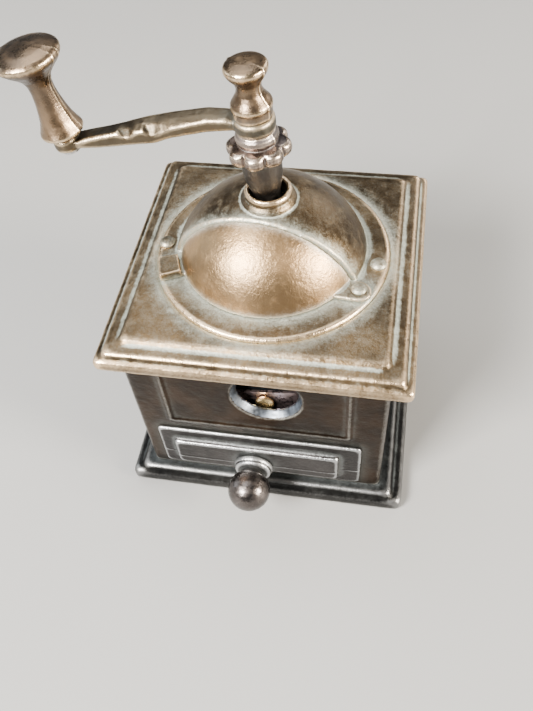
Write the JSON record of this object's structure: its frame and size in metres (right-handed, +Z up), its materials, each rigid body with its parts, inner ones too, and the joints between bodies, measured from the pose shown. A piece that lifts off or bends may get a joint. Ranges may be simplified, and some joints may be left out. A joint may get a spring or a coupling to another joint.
{
  "type": "miniature coffee mill",
  "caption": "Miniature cast coffee mill in antique copper: S-curved crank, domed hopper with swinging door, drawer with ball pull, and a pencil sharpener behind a round window.",
  "frame": {"origin": "on the table under the spindle's foot, in the middle of the base", "axes": "+Z up, -Y towards the drawer, +X to the mill's right seen from the front"},
  "size_m": [0.0635, 0.0584, 0.0776],
  "materials": {
    "antique_copper": "antique copper plate over a zinc casting, brown, bright on the raised edges and grey-green in the recesses",
    "bright_copper": "copper plate over a zinc casting, rough cast and rubbed bright",
    "aged_grey_copper": "copper plate over a zinc casting, aged dark grey-brown",
    "antique_bronze": "antique bronze plate over a zinc casting, glossy",
    "dark_sleeve": "dark oxidised plate",
    "zinc_casting": "bare die casting",
    "blade_steel": "ground steel",
    "brass": "turned brass",
    "plated_steel": "bright zinc plate"
  },
  "bodies": {
    "mill": {"base_plinth": "aged_grey_copper", "body_shell": "antique_copper", "top_plate": "antique_copper", "hopper_shell": "antique_copper", "hopper_rivet_left": "antique_copper", "hopper_rivet_right": "antique_copper", "door_pivot_rivet": "antique_copper", "sharpener_block": "zinc_casting", "sharpener_blade": "blade_steel", "blade_screw": "brass", "sharpener_screw_left": "plated_steel", "sharpener_screw_right": "plated_steel", "tie_screw_front_left": "plated_steel", "tie_screw_front_right": "plated_steel", "tie_screw_back_left": "plated_steel", "tie_screw_back_right": "plated_steel"},
    "crank": {"spindle_bolt": "plated_steel", "retaining_washer": "plated_steel", "spindle_sleeve": "dark_sleeve", "rosette_collar": "antique_bronze", "crank_arm": "antique_bronze", "finial_nut": "antique_bronze", "knob_pin": "plated_steel"},
    "crank_handle": {"crank_knob": "antique_bronze"},
    "drawer": {"drawer_front": "aged_grey_copper", "drawer_tray": "zinc_casting", "knob_ferrule": "antique_copper", "drawer_knob": "antique_copper", "drawer_knob_nut": "plated_steel"},
    "door": {"hopper_door": "bright_copper"}
  },
  "joints": [
    {"name": "crank_turn", "type": "hinge", "parent": "mill", "child": "crank", "pos_m": [0, 0, 0.0507], "axis": [-0.0715, 0, 0.9974], "continuous": true},
    {"name": "crank_knob_spin", "type": "hinge", "parent": "crank", "child": "crank_handle", "pos_m": [-0.03078, 0, 0.06365], "axis": [-0.1392, 0, 0.9903], "continuous": true},
    {"name": "drawer_slide", "type": "slide", "parent": "mill", "child": "drawer", "axis": [0, -1, 0], "range_m": [0, 0.027]},
    {"name": "hopper_door_swing", "type": "hinge", "parent": "mill", "child": "door", "pos_m": [0.0152, -0.0084, 0.0426], "axis": [0, 0, 1], "range_deg": [0, 100]}
  ]
}
